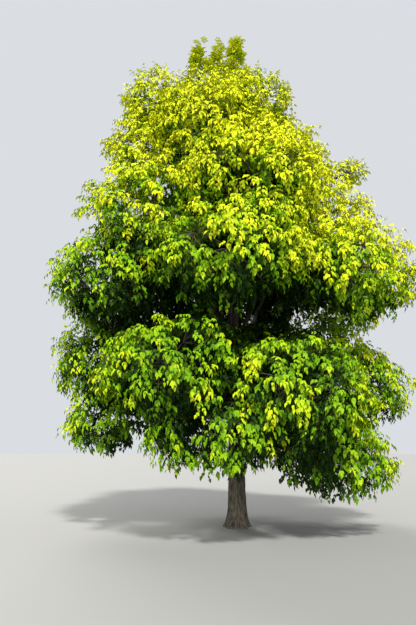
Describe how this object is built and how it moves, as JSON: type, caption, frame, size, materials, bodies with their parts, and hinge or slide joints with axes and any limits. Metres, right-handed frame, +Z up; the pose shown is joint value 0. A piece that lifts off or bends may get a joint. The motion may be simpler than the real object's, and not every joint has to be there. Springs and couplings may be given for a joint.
{
  "type": "golden box elder tree",
  "caption": "Broad conical golden-leaved garden tree in full leaf, with a flared trunk, rising boughs and drooping masses of foliage, fixed at ground level.",
  "frame": {"origin": "centre of the flat cut under the trunk, at ground level", "axes": "+Z up the trunk, +X to the right in the front view, which looks along +Y"},
  "size_m": [7.1242, 7.5795, 10.8524],
  "materials": {
    "bark": "rough, finely furrowed",
    "gold_leaves": "thin, slightly waxy leaves",
    "green_leaves": "thin, slightly waxy leaves"
  },
  "bodies": {
    "root": {"bough_broad_1": "bark", "bough_broad_2": "bark", "bough_broad_3": "bark", "bough_broad_4": "bark", "bough_broad_5": "bark", "bough_broad_6": "bark", "bough_leader_left": "bark", "bough_leader_middle": "bark", "bough_low_1": "bark", "bough_low_2": "bark", "bough_low_3": "bark", "bough_low_4": "bark", "bough_low_5": "bark", "bough_low_6": "bark", "bough_middle_1": "bark", "bough_middle_2": "bark", "bough_middle_3": "bark", "bough_middle_4": "bark", "bough_middle_5": "bark", "bough_skirt_1": "bark", "bough_skirt_2": "bark", "bough_skirt_3": "bark", "bough_skirt_4": "bark", "bough_skirt_5": "bark", "bough_spur": "bark", "leaves_broad_1": "gold_leaves", "leaves_broad_2": "gold_leaves", "leaves_broad_3": "gold_leaves", "leaves_broad_4": "gold_leaves", "leaves_broad_5": "gold_leaves", "leaves_broad_6": "gold_leaves", "leaves_leader_left": "gold_leaves", "leaves_leader_middle": "gold_leaves", "leaves_leader_right": "gold_leaves", "leaves_low_1": "green_leaves", "leaves_low_2": "green_leaves", "leaves_low_3": "green_leaves", "leaves_low_4": "green_leaves", "leaves_low_5": "green_leaves", "leaves_low_6": "green_leaves", "leaves_middle_1": "gold_leaves", "leaves_middle_2": "gold_leaves", "leaves_middle_3": "gold_leaves", "leaves_middle_4": "gold_leaves", "leaves_middle_5": "gold_leaves", "leaves_shoulder_1": "gold_leaves", "leaves_shoulder_2": "gold_leaves", "leaves_shoulder_3": "gold_leaves", "leaves_skirt_1": "green_leaves", "leaves_skirt_2": "green_leaves", "leaves_skirt_3": "green_leaves", "leaves_skirt_4": "green_leaves", "leaves_skirt_5": "green_leaves", "leaves_spur": "gold_leaves", "leaves_upper_1": "gold_leaves", "leaves_upper_2": "gold_leaves", "leaves_upper_3": "gold_leaves", "leaves_upper_4": "gold_leaves", "leaves_upper_5": "gold_leaves", "trunk": "bark"}
  },
  "joints": []
}
